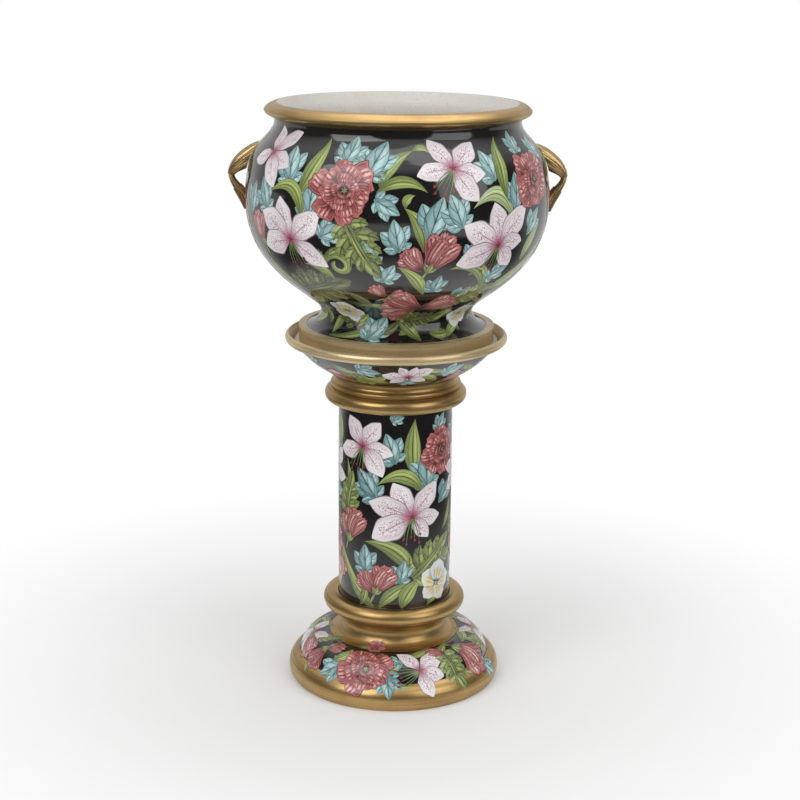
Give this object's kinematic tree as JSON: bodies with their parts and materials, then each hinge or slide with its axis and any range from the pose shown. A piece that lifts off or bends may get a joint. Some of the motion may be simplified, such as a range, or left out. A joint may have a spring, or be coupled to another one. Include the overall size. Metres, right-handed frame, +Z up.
{
  "type": "jardiniere on stand",
  "caption": "Round-bellied glazed bowl planter with gilt side handles, standing in the dish of a tall pedestal with turned mouldings.",
  "frame": {"origin": "centre of the ring that the base stands on, on the floor", "axes": "+Z up along the pedestal and bowl, X through the two handles, the pictured side towards -Y"},
  "size_m": [0.5618, 0.5038, 1],
  "materials": {
    "black_glaze": "glossy black glaze on earthenware, with a painted flower pattern and gilt mouldings",
    "gilding": "burnished gilding on glazed earthenware",
    "cork": "plain pressed cork",
    "steel": "zinc-plated steel"
  },
  "bodies": {
    "pedestal": {"base": "black_glaze", "lower_cork_ring": "cork", "shaft": "black_glaze", "upper_cork_ring": "cork", "capital": "black_glaze", "tie_rod": "steel", "rod_washers": "steel", "rod_nuts": "steel"},
    "jardiniere": {"bowl": "black_glaze", "right_handle": "gilding", "left_handle": "gilding"}
  },
  "joints": [
    {"name": "bowl_lift", "type": "slide", "parent": "pedestal", "child": "jardiniere", "axis": [0, 0, 1], "range_m": [0, 0.15]}
  ]
}
